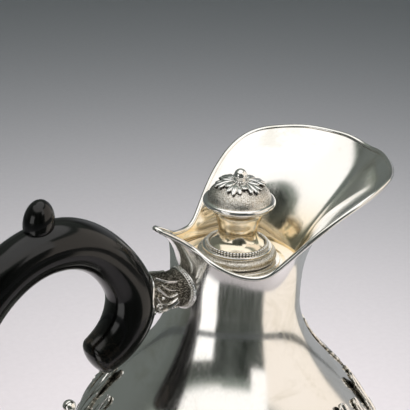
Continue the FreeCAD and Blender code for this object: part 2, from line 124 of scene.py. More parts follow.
def natural_spline(params, values):
    """Smooth function through values at increasing parameters."""
    params, values = np.asarray(params, float), np.asarray(values, float)
    steps = np.diff(params)
    count = len(params)
    matrix, right = np.eye(count), np.zeros_like(values)
    slopes = np.diff(values, axis=0) / steps[:, None]
    for i in range(1, count - 1):
        matrix[i, i - 1:i + 2] = steps[i - 1], 2 * (steps[i - 1] + steps[i]), steps[i]
        right[i] = 6 * (slopes[i] - slopes[i - 1])
    bends = np.linalg.solve(matrix, right)

    def at(x):
        x = np.clip(np.asarray(x, float), params[0], params[-1])
        i = np.clip(np.searchsorted(params, x) - 1, 0, count - 2)
        step = steps[i][..., None]
        before, after = (params[i + 1] - x)[..., None], (x - params[i])[..., None]
        curved = (bends[i] * before ** 3 + bends[i + 1] * after ** 3) / (6 * step)
        straight = (values[i] / step - bends[i] * step / 6) * before
        return curved + straight + (values[i + 1] / step - bends[i + 1] * step / 6) * after

    return at


def through(points, first=0):
    """Smooth curve through points as a function of share, even in length from point number first."""
    points = np.array(points, float)
    chord = np.concatenate([[0.0], np.cumsum(np.linalg.norm(np.diff(points, axis=0), axis=1))])
    at = natural_spline(chord, points)
    params = np.linspace(chord[first], chord[-1], 1200)
    steps = np.linalg.norm(np.diff(at(params), axis=0), axis=1)
    length = np.concatenate([[0.0], np.cumsum(steps)])

    def by_share(share):
        return at(np.interp(np.asarray(share, float) * length[-1], length, params))

    by_share.length = length[-1]
    return by_share


def rounded(corners, radius):
    """Closed outline through corners with each one eased over radius."""
    corners = np.array(corners, float)
    points = []
    for i, here in enumerate(corners):
        before, after = corners[i - 1], corners[(i + 1) % len(corners)]
        to_before, to_after = unit(before - here), unit(after - here)
        room = 0.45 * min(np.linalg.norm(before - here), np.linalg.norm(after - here))
        reach = min(radius, room)
        start, end = here + to_before * reach, here + to_after * reach
        points.append(start + to_before * min(0.1, room - reach + 0.01))
        for t in np.linspace(0, 1, 7):
            points.append(start * (1 - t) ** 2 + here * 2 * t * (1 - t) + end * t ** 2)
        points.append(end + to_after * min(0.1, room - reach + 0.01))
    return np.array(points)


# ---- meshes ----
def grid_quads(rows, cols, closed_rows=False, closed_cols=False):
    """Faces of a grid of points, joined end to start where closed."""
    r = np.arange(rows if closed_rows else rows - 1)[:, None]
    c = np.arange(cols if closed_cols else cols - 1)[None, :]
    r2, c2 = (r + 1) % rows, (c + 1) % cols
    quads = [r * cols + c, r * cols + c2, r2 * cols + c2, r2 * cols + c]
    return np.stack(quads, -1).reshape(-1, 4)


def join(parts):
    """One (points, faces, recess) from several."""
    points, faces, recess, base = [], [], [], 0
    for part in parts:
        points.append(part[0])
        recess.append(part[2] if len(part) > 2 else np.zeros(len(part[0])))
        faces += [[base + i for i in face] for face in part[1]]
        base += len(part[0])
    return np.concatenate(points), faces, np.concatenate(recess)


def capped(rings):
    """Closed skin over a row of rings, each end shut by a fan."""
    rings = np.asarray(rings, float)
    count, around = rings.shape[:2]
    points = np.concatenate([rings.reshape(-1, 3), rings[:1].mean(1), rings[-1:].mean(1)])
    faces = grid_quads(count, around, closed_cols=True).tolist()
    start, end = count * around, count * around + 1
    for i in range(around):
        j = (i + 1) % around
        faces.append([start, j, i])
        faces.append([end, (count - 1) * around + i, (count - 1) * around + j])
    return points, faces


def slab(outer, inner):
    """Closed sheet between two grids of points that face each other."""
    rows, cols = outer.shape[:2]
    count = rows * cols
    top = grid_quads(rows, cols)
    loop = np.concatenate([
        np.arange(cols), np.arange(1, rows) * cols + cols - 1,
        (rows - 1) * cols + np.arange(cols - 2, -1, -1), np.arange(rows - 2, 0, -1) * cols])
    after = np.roll(loop, -1)
    sides = np.stack([loop, after, after + count, loop + count], -1)
    faces = np.concatenate([top, top[:, ::-1] + count, sides]).tolist()
    return np.concatenate([outer.reshape(-1, 3), inner.reshape(-1, 3)]), faces


def polar(radius, turn, height):
    """Points from their radius, angle and height."""
    return np.stack(np.broadcast_arrays(radius * np.cos(turn), radius * np.sin(turn), height), -1)


def ring_turns(segments):
    """Angles of a full turn."""
    return np.arange(segments) * 2 * math.pi / segments


def lathe_rings(outline, segments, push=None):
    """Rings of a turned shape, one for each (radius, height), with an optional outward displacement."""
    outline = np.asarray(outline, float)
    turns = ring_turns(segments)
    radius = np.repeat(outline[:, :1], segments, 1)
    height = np.repeat(outline[:, 1:2], segments, 1)
    if push is not None:
        tangent = unit(np.gradient(outline, axis=0))
        depth = push(turns[None, :], np.linspace(0, 1, len(outline))[:, None])
        radius = radius + tangent[:, 1:2] * depth
        height = height - tangent[:, :1] * depth
    return polar(radius, turns, height)


def turned(outline, segments, push=None):
    """Turned ring with a closed outline."""
    rings = lathe_rings(outline, segments, push)
    return rings.reshape(-1, 3), grid_quads(len(rings), segments, True, True).tolist()


def turned_shell(outside, thickness, segments=180):
    """Thin turned sheet with the given outer outline."""
    along = unit(np.gradient(outside, axis=0))
    inside = outside + np.stack([along[:, 1], -along[:, 0]], -1) * thickness
    return turned(np.concatenate([outside, inside[::-1]]), segments)


def turned_capped(outline, segments):
    """Turned shape whose outline starts and ends at the axis."""
    return capped(lathe_rings(outline, segments))


def bead_row(radius, height, bead, count, per_bead=10, around=14):
    """Beaded wire: a ring whose section swells into round beads."""
    turns = ring_turns(count * per_bead)
    swell = lerp(0.4, 1.0, pillow(np.arange(len(turns)) / per_bead))
    ring = ring_turns(around)
    out = bead * swell[:, None] * np.cos(ring)
    up = bead * swell[:, None] * np.sin(ring)
    points = polar(radius + out, turns[:, None], height + up)
    # Darker between the beads: oxide and painted shade.
    recess = np.repeat((1.0 - swell[:, None]) / 0.6, around, 1)
    faces = grid_quads(len(turns), around, True, True).tolist()
    return points.reshape(-1, 3), faces, recess.ravel() ** 0.7


def arc(centre, radius, start, end, count=16):
    """Points of an arc, angles in degrees."""
    turn = np.radians(np.linspace(start, end, count))
    return np.stack([centre[0] + radius * np.cos(turn), centre[1] + radius * np.sin(turn)], -1)


def add_object(name, data):
    """New object in the scene."""
    obj = bpy.data.objects.new(name, data)
    bpy.context.scene.collection.objects.link(obj)
    return obj


def shade_smooth(mesh, degrees):
    """Smooth shading except over edges sharper than an angle."""
    mesh.polygons.foreach_set("use_smooth", [True] * len(mesh.polygons))
    mesh.set_sharp_from_angle(angle=math.radians(degrees))


def piece(name, made, finish, body, replaced=()):
    """Mesh object from (points, faces[, recess]) with the material of a finish, riding on a body for its
    parts; the finish's slot name is not used.
    """
    material, slot = finish
    mesh = bpy.data.meshes.new(name)
    mesh.from_pydata((np.asarray(made[0]) * MM).tolist(), [], [list(face) for face in made[1]])
    if len(made) > 2:
        recess = mesh.attributes.new("recess", "FLOAT", "POINT")
        recess.data.foreach_set("value", np.clip(made[2], 0, 1).astype(np.float32))
    work = bmesh.new()
    work.from_mesh(mesh)
    bmesh.ops.recalc_face_normals(work, faces=work.faces)
    work.to_mesh(mesh)
    work.free()
    shade_smooth(mesh, 50.0)
    mesh.materials.append(material)
    obj = add_object(name, mesh)
    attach(obj, body)
    if replaced:
        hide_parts(*replaced)


# ---- materials ----
class Tree:
    """Small helper that builds a node tree on its object coordinates."""

    def __init__(self, tree, coordinates="Object"):
        self.tree = tree
        self.place = self.add("ShaderNodeTexCoord").outputs[coordinates]

    def add(self, kind, **settings):
        """New node with its settings."""
        node = self.tree.nodes.new(kind)
        for key, value in settings.items():
            setattr(node, key, value)
        return node

    def link(self, source, target):
        """Wire between two sockets."""
        self.tree.links.new(source, target)

    def fill(self, node, **values):
        """Constants on a node's sockets."""
        for key, value in values.items():
            node.inputs[key.replace("_", " ")].default_value = value

    def noise(self, scale, detail=4.0, rough=0.5, stretch=None, distortion=0.0):
        """Noise over the object, optionally stretched along an axis."""
        node = self.add("ShaderNodeTexNoise")
        self.fill(node, Scale=scale, Detail=detail, Roughness=rough, Distortion=distortion)
        source = self.place
        if stretch:
            mapping = self.add("ShaderNodeMapping")
            self.fill(mapping, Scale=stretch)
            self.link(self.place, mapping.inputs["Vector"])
            source = mapping.outputs["Vector"]
        self.link(source, node.inputs["Vector"])
        return node.outputs["Fac"]

    def cells(self, scale):
        """Small cells over the object."""
        node = self.add("ShaderNodeTexVoronoi", feature="F1")
        self.fill(node, Scale=scale)
        self.link(self.place, node.inputs["Vector"])
        return node.outputs["Distance"]

    def remap(self, source, low_in, high_in, low_out, high_out, eased=False):
        """Number moved from one range to another."""
        node = self.add("ShaderNodeMapRange", interpolation_type="SMOOTHSTEP" if eased else "LINEAR")
        self.fill(node, From_Min=low_in, From_Max=high_in, To_Min=low_out, To_Max=high_out)
        self.link(source, node.inputs["Value"])
        return node.outputs["Result"]

    def ramp(self, source, stops):
        """Colour along a number."""
        node = self.add("ShaderNodeValToRGB")
        elements = node.color_ramp.elements
        while len(elements) < len(stops):
            elements.new(0.5)
        for element, (position, colour) in zip(elements, stops):
            element.position = position
            element.color = (*colour, 1.0)
        self.link(source, node.inputs["Fac"])
        return node.outputs["Color"]

    def math(self, operation, *values):
        """Arithmetic on numbers and sockets."""
        node = self.add("ShaderNodeMath", operation=operation)
        for socket, value in zip(node.inputs, values):
            if isinstance(value, (int, float)):
                socket.default_value = value
            else:
                self.link(value, socket)
        return node.outputs["Value"]

    def blend(self, share, colour, over):
        """Colour laid over another by a share."""
        node = self.add("ShaderNodeMix", data_type="RGBA")
        self.link(share, node.inputs[0])
        for socket, value in ((node.inputs[6], colour), (node.inputs[7], over)):
            if isinstance(value, tuple):
                socket.default_value = (*value, 1.0)
            else:
                self.link(value, socket)
        return node.outputs[2]

    def split(self, vector):
        """The three parts of a vector."""
        node = self.add("ShaderNodeSeparateXYZ")
        self.link(vector, node.inputs["Vector"])
        return node.outputs["X"], node.outputs["Y"], node.outputs["Z"]

    def attribute(self, name):
        """Number stored on the mesh."""
        node = self.add("ShaderNodeAttribute", attribute_name=name)
        return node.outputs["Fac"]


class Material(Tree):
    """Procedural material round one Principled shader."""

    def __init__(self, name):
        self.material = bpy.data.materials.new(name)
        self.material.use_nodes = True
        super().__init__(self.material.node_tree)
        self.shader = self.tree.nodes["Principled BSDF"]

    def bump(self, height, distance, strength=1.0):
        """Surface relief from a height in 0..1, distance in metres."""
        node = self.add("ShaderNodeBump")
        self.fill(node, Strength=strength, Distance=distance)
        self.link(height, node.inputs["Height"])
        self.link(node.outputs["Normal"], self.shader.inputs["Normal"])

    def feed(self, socket, source):
        """Wire into the shader."""
        self.link(source, self.shader.inputs[socket])


SILVER = (0.95, 0.94, 0.92)
SILVER_WARM = (0.94, 0.915, 0.87)
# Golden tone below is a painted warm reflection, laid deep in the mouth and on the knob's waist.
PAINTED_GOLD_REFLECTION = (0.93, 0.8, 0.58)
SMUDGE = (0.7, 0.67, 0.58)
# Dark of the chased recesses: oxide together with painted shade.
OXIDE_AND_SHADE_DARK = (0.05, 0.046, 0.038)


def polished_silver():
    """Hand-polished sterling: fine wiping marks, slight waves, and a painted golden reflection deep in the
    mouth.
    """
    n = Material("polished_silver")
    n.fill(n.shader, Metallic=1.0)
    cast = n.ramp(n.noise(18.0, 3.0), [(0.35, SILVER), (0.7, SILVER_WARM)])
    smudge = n.remap(n.noise(42.0, 5.0, 0.65, distortion=0.6), 0.48, 0.72, 0.0, 0.55, True)
    mottled = n.blend(smudge, cast, SMUDGE)
    # The recess share lays the painted golden reflection over the silver deep in the mouth and on the waist.
    n.feed("Base Color", n.blend(n.attribute("recess"), mottled, PAINTED_GOLD_REFLECTION))
    wipe = n.noise(900.0, 3.0, 0.6, stretch=(1.0, 1.0, 0.1))
    n.feed("Roughness", n.remap(wipe, 0.3, 0.75, 0.1, 0.2))
    n.bump(n.noise(38.0, 2.0), 0.00012, 0.6)
    return n.material


def chased_silver():
    """Cast or chased ornament: bright on its ridges, darkened in its recesses by oxide and painted shade."""
    n = Material("chased_silver")
    n.fill(n.shader, Metallic=1.0)
    grain = n.noise(1400.0, 3.0)
    # Recess share plus grain: oxide and painted shade in the hollows.
    oxide_and_shade = n.math("ADD", n.attribute("recess"), n.remap(grain, 0.35, 0.65, -0.16, 0.16))
    stops = [(0.28, SILVER), (0.5, (0.52, 0.49, 0.42)), (0.78, OXIDE_AND_SHADE_DARK)]
    n.feed("Base Color", n.ramp(oxide_and_shade, stops))
    n.feed("Roughness", n.remap(oxide_and_shade, 0.1, 0.8, 0.13, 0.42))
    n.bump(n.noise(1100.0, 4.0, 0.6), 0.00012, 0.6)
    return n.material


def matted_silver():
    """Silver matted with a fine punch."""
    n = Material("matted_silver")
    n.fill(n.shader, Metallic=1.0)
    dots = n.cells(1900.0)
    hollow = n.math("MULTIPLY", n.attribute("recess"), 0.5)
    shade = n.math("ADD", n.remap(dots, 0.15, 0.75, 0.0, 0.55), hollow)
    stops = [(0.15, SILVER_WARM), (0.6, (0.66, 0.61, 0.53)), (0.98, (0.2, 0.18, 0.15))]
    n.feed("Base Color", n.ramp(shade, stops))
    n.feed("Roughness", n.remap(n.noise(700.0), 0.3, 0.7, 0.24, 0.4))
    n.bump(dots, 0.0002, 0.7)
    return n.material


def ebony():
    """Polished ebony: close grain, a brown mottle near the end of the scroll."""
    n = Material("ebony")
    grain = n.noise(420.0, 6.0, 0.65, stretch=(0.12, 1.0, 1.0), distortion=0.4)
    stops = [(0.35, (0.0015, 0.0016, 0.0016)), (0.62, (0.003, 0.003, 0.0028)), (0.8, (0.009, 0.007, 0.005))]
    black = n.ramp(grain, stops)
    mottle = n.remap(n.noise(330.0, 5.0, 0.7), 0.42, 0.62, 0.0, 1.0)
    # Brown mottle, strongest near the scroll's end.
    mottled = n.math("MULTIPLY", mottle, n.attribute("recess"))
    n.feed("Base Color", n.blend(mottled, black, (0.075, 0.058, 0.042)))
    n.feed("Roughness", n.remap(n.noise(60.0, 4.0), 0.35, 0.7, 0.1, 0.2))
    n.fill(n.shader, Coat_Weight=0.2, Coat_Roughness=0.05, IOR=1.42)
    n.bump(grain, 0.00006, 0.4)
    return n.material


FLOOR_LIT_R, FLOOR_DIM_R = 0.25, 1.3      # metres from the pitcher, between which the floor's tint turns bluer and darker; the darkening is painted fall-off of light


def plain_floor():
    """Plain pale table top, bluer and darker far away; the darkening is painted fall-off of light."""
    n = Material("pale_floor")
    fleck = n.noise(260.0, 5.0)
    near = n.ramp(fleck, [(0.3, (0.72, 0.685, 0.70)), (0.7, (0.75, 0.715, 0.73))])
    # Far tone is bluer and darker; the darkening is painted fall-off of light.
    far = n.ramp(fleck, [(0.3, (0.47, 0.56, 0.6)), (0.7, (0.49, 0.58, 0.62))])
    radius = n.add("ShaderNodeVectorMath", operation="LENGTH")
    n.link(n.place, radius.inputs[0])
    distance = n.remap(radius.outputs["Value"], FLOOR_LIT_R, FLOOR_DIM_R, 0.0, 1.0)
    n.feed("Base Color", n.blend(distance, near, far))
    n.feed("Roughness", n.remap(fleck, 0.3, 0.7, 0.55, 0.65))
    return n.material


# Each finish is a material and the name of its slot.
POLISHED = polished_silver(), "polished_silver"
CHASED = chased_silver(), "chased_silver"
MATTED = matted_silver(), "matted_silver"
EBONY = ebony(), "ebony"


# ---- body and mouth ----
BELLY = through([
    (NECK_R + 0.3, SEAM_Z + 5.0),
    (NECK_R, SEAM_Z),
    (NECK_R + 0.3, SEAM_Z - 5.0),
    (NECK_R + 2.6, SEAM_Z - 14.0),
    (NECK_R + 10.2, SEAM_Z - 28.0),
    (NECK_R + 29.7, SEAM_Z - 50.0),
    (BELLY_R - 3.2, BELLY_MID_Z + 22.0),
    (BELLY_R, BELLY_MID_Z),
    (BELLY_R - 3.4, BELLY_MID_Z - 23.0),
    (BELLY_R - 13.4, BELLY_MID_Z - 43.0),
    (BELLY_R - 29.4, BELLY_MID_Z - 57.0),
    (BELLY_BASE_R, BELLY_BASE_Z),
], first=1)


def belly_normal(share):
    """Outward direction (radius, height) on the body's outline."""
    step = 0.002
    along = BELLY(np.clip(share + step, 0, 1)) - BELLY(np.clip(share - step, 0, 1))
    return unit(np.stack([-along[..., 1], along[..., 0]], -1))


def body_radius(height):
    """Outer radius of the body at a height."""
    outline = BELLY(np.linspace(1, 0, 400))
    return np.interp(height, outline[:, 1], outline[:, 0])


# Angle from the spout, radius from the axis and height from the lid's step, round half the rim.
RIM_STATIONS = (
    (0.0, 71.4, 32.7),
    (9.0, 70.6, 34.0),
    (18.0, 69.0, 34.2),
    (28.0, 67.0, 34.0),
    (38.0, 62.9, 33.2),
    (52.0, 56.1, 30.3),
    (65.0, 46.6, 21.8),
    (79.0, 37.6, 9.2),
    (93.0, 32.3, -1.1),
    (109.0, 30.8, -3.8),
    (131.0, 30.8, -1.1),
    (150.0, 31.2, 3.6),
    (162.0, 31.0, 6.4),
    (171.0, 35.0, 10.2),
    (180.0, 44.3, 16.5),
)
SIDE_FLARE = 4.0            # how late the wall flares outwards at the sides
SPOUT_BELLY = 0.6           # how far the spout's underside bulges before it turns up to its lip
SPOUT_SPREAD = 45.0         # angle from the spout at which that bulge has died out
RIM_FULL = [(-a, r, h) for a, r, h in reversed(RIM_STATIONS[1:])] + list(RIM_STATIONS)
RIM = natural_spline([s[0] for s in RIM_FULL], [s[1:] for s in RIM_FULL])


def mouth_point(degrees, t):
    """Outer face of the mouth from the neck seam (t = 0) to the rim (t = 1)."""
    rim = RIM(degrees)
    bulge = lerp(t * t, smooth(t), SPOUT_BELLY)
    share = lerp(bulge, t ** SIDE_FLARE, smooth(np.abs(degrees) / SPOUT_SPREAD))
    radius = lerp(NECK_R, rim[..., 0], share)
    height = lerp(SEAM_Z, rel(rim[..., 1]), t)
    return polar(radius, np.radians(degrees), height)


def mouth_normal(degrees, t):
    """Outward direction of the mouth's wall."""
    across = mouth_point(degrees + 0.2, t) - mouth_point(degrees - 0.2, t)
    along = mouth_point(degrees, np.minimum(t + 0.002, 1)) - mouth_point(degrees, np.maximum(t - 0.002, 0))
    return unit(np.cross(across, along))


def rim_angles(count):
    """Angles round the rim, spread partly by angle and partly by the rim's own length."""
    fine = np.linspace(0, 180, 2000)
    spots = mouth_point(fine, np.ones_like(fine))
    length = np.concatenate([[0], np.cumsum(np.linalg.norm(np.diff(spots, axis=0), axis=1))])
    weight = 0.45 * fine / 180 + 0.55 * length / length[-1]
    half = np.interp(np.linspace(0, 1, count // 2 + 1), weight, fine)
    return np.concatenate([half, -half[-2:0:-1]])


def on_plane(points, angles, margin):
    """Keeps points of each half of the mouth on their own side of the spout plane."""
    side = np.sign(np.round(np.sin(np.radians(angles)), 9))
    points[..., 1] = side * np.maximum(side * points[..., 1], margin)
    return points


def make_body():
    """Belly, neck and mouth as one smooth sheet of silver, outside and inside."""
    angles = rim_angles(288)
    turns = np.radians(angles)
    shares = np.linspace(1, 0, 110)[:-1]
    outline, normal = BELLY(shares), belly_normal(shares)
    lifts = np.linspace(0, 1, 70) ** 0.9
    grid_a, grid_t = np.meshgrid(angles, lifts)
    outer_mouth = mouth_point(grid_a, grid_t)
    inner_mouth = on_plane(outer_mouth - mouth_normal(grid_a, grid_t) * WALL, angles, 0.02)

    def around(profile):
        return polar(profile[:, :1], turns, profile[:, 1:])

    base = np.array([(r, BELLY_BASE_Z) for r in (0.5, 8.0, 16.0, 22.0)])
    inside = outline - normal * WALL
    inner_base = base + (0, WALL)
    outside = np.concatenate([around(base), around(outline), outer_mouth])
    within = np.concatenate([inner_mouth[::-1], around(inside[::-1]), around(inner_base[::-1])])
    points, faces = capped(np.concatenate([outside, within]))
    # Share of painted golden reflection, growing deeper inside the mouth.
    depth = smooth((rel(14.0) - within[..., 2]) / 22.0)
    recess = np.concatenate([np.zeros(outside.shape[:2]).ravel(), depth.ravel(), [0.0, 1.0]])
    return points, faces, recess


def make_rim_wire():
    """Round wire along the edge of the mouth."""
    angles = rim_angles(420)
    top = np.ones_like(angles)
    out = mouth_normal(angles, top)
    along = unit(mouth_point(angles + 0.2, top) - mouth_point(angles - 0.2, top))
    up = unit(np.cross(out, along))
    centre = mouth_point(angles, top) - out * (WALL / 2) + up * (WIRE_R * 0.75)
    for _ in range(6):
        centre = (centre * 2 + np.roll(centre, 1, 0) + np.roll(centre, -1, 0)) / 4
        out = unit(out * 2 + np.roll(out, 1, 0) + np.roll(out, -1, 0))
    along = unit(np.roll(centre, -1, 0) - np.roll(centre, 1, 0))
    up = unit(np.cross(out, along))
    out = np.cross(along, up)
    turn = ring_turns(20)[:, None]
    rings = centre[:, None] + (out[:, None] * np.cos(turn) + up[:, None] * np.sin(turn)) * WIRE_R
    return rings.reshape(-1, 3), grid_quads(len(angles), 20, True, True).tolist()


# ---- acanthus ----
def acanthus(s, w, lobes, lean=1.5, serration=4.0):
    """Edge factor, relief and recess of a lobed leaf: s from base to tip, w from edge to edge."""
    side = np.abs(w)
    phase = s ** 0.9 * lobes - lean * side
    edge_phase = s ** 0.9 * lobes - lean
    lobe, edge_lobe = pillow(phase), pillow(edge_phase)
    fine, edge_fine = pillow(phase * serration), pillow(edge_phase * serration)
    edge = 1.0 - 0.2 * (1.0 - edge_lobe) - 0.05 * (1.0 - edge_fine)
    outward = smooth(side / 0.4)
    ribs = outward * (1.0 - fine) * 0.2
    dip = outward * (1.0 - lobe ** 0.8)
    rib = bump(w, 0.1)
    veins = bump(side - 0.2, 0.045)
    curl = smooth((side - 0.7) / 0.25) * lobe
    relief = 0.75 * (1.0 - 0.5 * w * w) - 0.55 * dip - ribs + 0.4 * rib - 0.18 * veins + 0.4 * curl
    # Dips, rib grooves and veins darken in the chased finish: oxide and painted shade.
    recess = np.clip(1.2 * dip + 1.3 * ribs + 0.9 * veins, 0, 1)
    return edge, relief, recess


def leaf_grid(rows, cols):
    """Shares s along and w across a leaf."""
    s = np.linspace(0, 1, rows)[:, None]
    w = np.linspace(-1, 1, cols)[None, :]
    return s + 0 * w, w + 0 * s


def blunt_tip(s, start):
    """Width factor that rounds a leaf's tip off over its last part."""
    return np.sqrt(np.clip(1.0 - np.clip((s - start) / (1.0 - start), 0, 1) ** 2, 0.004, 1))


def belly_leaf(turn_degrees, base, top, half_width, lobes, rise, curl, rows, cols):
    """One leaf on the belly, from share base up to share top of its outline."""
    s, w = leaf_grid(rows, cols)
    edge, relief, recess = acanthus(s, w, lobes)
    share = lerp(base, top, s)
    outline, normal = BELLY(share), belly_normal(share)
    taper = lerp(1.0, 0.3, smooth((s - 0.55) / 0.42)) * blunt_tip(s, 0.94)
    width = half_width * (0.55 + 0.45 * smooth(s / 0.3)) * taper * edge
    turn = np.radians(turn_degrees + w * width)
    lift = 0.3 + rise * np.maximum(relief, 0.0) + curl * smooth((s - 0.86) / 0.14) ** 1.5

    def surface(height):
        spot = outline + normal * height[..., None]
        return polar(spot[..., 0], turn, spot[..., 1])

    under = np.maximum(lift - 0.9, 0.04) * smooth((s - 0.8) / 0.1) + 0.02
    points, faces = slab(surface(lift), surface(under))
    # Underside and edges of the sheet darken as oxide and painted shade under the leaf.
    return points, faces, np.concatenate([recess.ravel(), np.full(recess.size, 0.7)])


def leaf_top(index):
    """Share of the outline at a main leaf's tip: tallest in front, short under the handle's socket."""
    rear = LEAF_COUNT // 2
    return {0: 0.13, rear: 0.53, rear - 1: 0.25, rear + 1: 0.25}.get(index, 0.27)


def make_leaves():
    """The twelve main leaves, and the shorter ones that show between their tips."""
    step = 360.0 / LEAF_COUNT
    for index in range(LEAF_COUNT):
        made = belly_leaf(index * step, 0.93, leaf_top(index), 14.9, 12, 1.55, 1.4, 200, 41)
        number = "%02d" % (index + 1)
        piece("leaf_" + number, made, CHASED, "vessel", ["belly_leaf_" + number])
    between = [belly_leaf((index + 0.5) * step, 0.66, 0.295, 9.5, 7, 0.8, 0.5, 100, 33)
               for index in range(LEAF_COUNT)]
    piece("leaves_between", join(between), CHASED, "vessel")


# ---- foot ----
def make_foot():
    """Collar, spreading foot, beaded wire and base rim."""
    low_z, high_z = low("foot_collar", Z), high("foot_collar", Z)
    mid, half = (low_z + high_z) / 2, (high_z - low_z) / 2
    collar = np.concatenate([[(17.0, low_z), (22.4, low_z)],
                             arc((22.4, mid), half, -90, 90), [(17.0, high_z)]])
    piece("foot_collar_ring", turned(collar, 200), MATTED, "vessel", ["foot_collar"])
    outline = through([(21.0, 24.7), (21.1, 22.5), (22.8, 18.0), (30.5, 13.0), (38.5, 11.2), (42.4, 7.0)])
    shell = turned_shell(outline(np.linspace(0, 1, 60)), 1.2, 200)
    piece("foot_spread", shell, POLISHED, "vessel", ["foot_dome"])
    piece("foot_beads", bead_row(43.2, 5.3, 1.5, 96), CHASED, "vessel", ["foot_beading"])
    rim = rounded([(37.0, 0.0), (FOOT_R - 0.6, 0.0), (FOOT_R, 0.8), (FOOT_R, 2.6), (FOOT_R - 1.2, 3.7),
                   (40.6, 3.7), (40.0, 1.6), (37.0, 1.6)], 0.35)
    piece("foot_base_rim", turned(rim, 220), POLISHED, "vessel", ["foot_rim"])


# ---- handle ----
# Stations of the ebony's centre line in the spout plane: x, height from the lid's step, radius there.
HANDLE_STATIONS = (
    (-74.0, -40.4, 8.9),
    (-66.0, -35.6, 9.9),
    (-59.0, -28.2, 10.8),
    (-55.3, -18.0, 11.3),
    (-56.5, -8.4, 10.7),
    (-62.0, 1.6, 10.2),
    (-72.8, 12.7, 10.3),
    (-87.6, 19.1, 11.2),
    (-103.5, 17.4, 11.1),
    (-117.5, 9.5, 11.1),
    (-128.7, -2.8, 11.0),
    (-136.0, -17.5, 10.7),
    (-139.0, -34.5, 10.1),
    (-136.0, -53.0, 9.4),
    (-125.5, -69.0, 8.7),
    (-108.5, -79.5, 7.9),
    (-90.0, -85.0, 7.4),
)
HANDLE = through([(x, 0.0, rel(h)) for x, h, _ in HANDLE_STATIONS])
END_DOME = 5.2                      # how far the scroll's end bulges
END_CUT = 4.0                       # where along the line that bulge starts
DOME_RINGS = 13                     # rings of the mesh over that bulge
BUD = np.array([-100.2, 0.0, rel(31.4)])
BUD_SIZE = np.array([6.7, 6.5, 10.2])
BUD_TILT = math.radians(8.0)


def handle_radius(t):
    """Radius of the ebony at share t of its line."""
    spots = np.array([(x, h) for x, h, _ in HANDLE_STATIONS])
    chord = np.concatenate([[0.0], np.cumsum(np.linalg.norm(np.diff(spots, axis=0), axis=1))])
    radii = natural_spline(chord / chord[-1], np.array([[r] for _, _, r in HANDLE_STATIONS]))
    return radii(t)[..., 0]


def tube_rings(centres, radii, around):
    """Rings round a line; one that lies in the plane y = 0 has its turn 0 on its outer side."""
    tangents = unit(np.gradient(centres, axis=0))
    side = unit(np.array([0, 1.0, 0]) - tangents * tangents[:, 1:2])
    normals = np.cross(side, tangents)
    turns = ring_turns(around)
    across = normals[:, None] * np.cos(turns)[:, None] + side[:, None] * np.sin(turns)[:, None]
    return centres[:, None] + across * np.asarray(radii, float)[:, None, None]


def make_handle():
    """Scroll with a blunt rounded end, and the thumb bud on its top."""
    shares = np.linspace(END_CUT / HANDLE.length, 1, 500)
    centres, radii = HANDLE(shares), handle_radius(shares)
    outwards = unit(centres[:1] - centres[1:2])
    turns = np.linspace(math.radians(85), 0, DOME_RINGS + 1)[:-1]
    dome = [centres[0] + outwards[0] * END_DOME * math.sin(t) for t in turns]
    centres = np.concatenate([dome, centres])
    radii = np.concatenate([radii[0] * np.cos(turns), radii])
    rings = tube_rings(centres, radii, 110)
    edge = rings[DOME_RINGS] - centres[DOME_RINGS]
    rings[:DOME_RINGS] = np.array(dome)[:, None] + edge * np.cos(turns)[:, None, None]
    ball, ball_faces = turned_capped(arc((0, 0), 1.0, -88, 88, 48), 96)
    spin = np.array(Matrix.Rotation(BUD_TILT, 3, "Y"))
    bud = (ball * BUD_SIZE) @ spin.T + BUD
    scroll, faces = capped(rings)
    # Share of the brown mottle, strongest at the scroll's end.
    mottled = smooth(1.6 - np.linalg.norm(scroll - centres[0], axis=1) / 13.0)
    return join([(scroll, faces, mottled), (bud, ball_faces)])


def ebony_gap(points):
    """Distance from points to the ebony's surface, negative inside."""
    shares = np.linspace(0, 1, 220)
    lines, radii = HANDLE(shares), handle_radius(shares)
    gap = np.full(points.shape[:-1], 1e9)
    for centre, radius in zip(lines, radii):
        gap = np.minimum(gap, np.linalg.norm(points - centre, axis=-1) - radius)
    return gap


def clipped(rings, from_ebony, depth=0.4):
    """Lengthwise lines of a skin cut at the ebony's surface and at the body's wall, spread evenly again."""
    rings = rings.transpose(1, 0, 2)
    count = rings.shape[1]
    steps = np.arange(count)
    lines = []
    for line in rings:
        wall = np.hypot(line[:, 0], line[:, 1]) - body_radius(line[:, 2]) + depth
        inside = np.nonzero(wall < 0)[0]
        last = count - 1
        if len(inside) and inside[0] > 0:
            k = inside[0]
            last = k - 1 + wall[k - 1] / (wall[k - 1] - wall[k])
        first = 0
        if from_ebony:
            covered = np.nonzero(ebony_gap(line) < -depth)[0]
            first = covered[-1] if len(covered) else 0
        spots = np.linspace(first, last, count)
        lines.append(np.stack([np.interp(spots, steps, line[:, axis]) for axis in range(3)], -1))
    return np.array(lines).transpose(1, 0, 2)


# Ridges of a cast socket on its unrolled skin, as (along, round from the top) points and a width.
RIDGES = (
    (((2.7, 12.2), (3.7, 13.1), (4.8, 12.2), (4.3, 10.9), (3.2, 10.6), (3.2, 8.9), (6.2, 7.2), (10.0, 8.4),
      (13.8, 11.2)), 0.62),
    (((3.0, 16.2), (5.2, 13.3), (8.3, 11.9), (11.0, 12.1), (13.6, 13.3)), 0.5),
    (((2.9, 20.6), (6.6, 17.2), (10.6, 15.1), (13.6, 15.6)), 0.6),
    (((5.2, 21.4), (8.8, 18.7), (12.6, 17.6)), 0.45),
    (((2.6, 25.0), (7.0, 22.8), (13.0, 21.6)), 0.6),
)
CURLS = ((4.2, 4.9), (7.8, 4.3), (11.4, 4.7))       # small C-scrolls in a row under the top
CURL_R = 1.25
BOSS = (6.3, 15.4)
SOCKET_MEAN_R = 9.0                 # radius at which the skin is unrolled
RELIEF_HEIGHT = 1.35
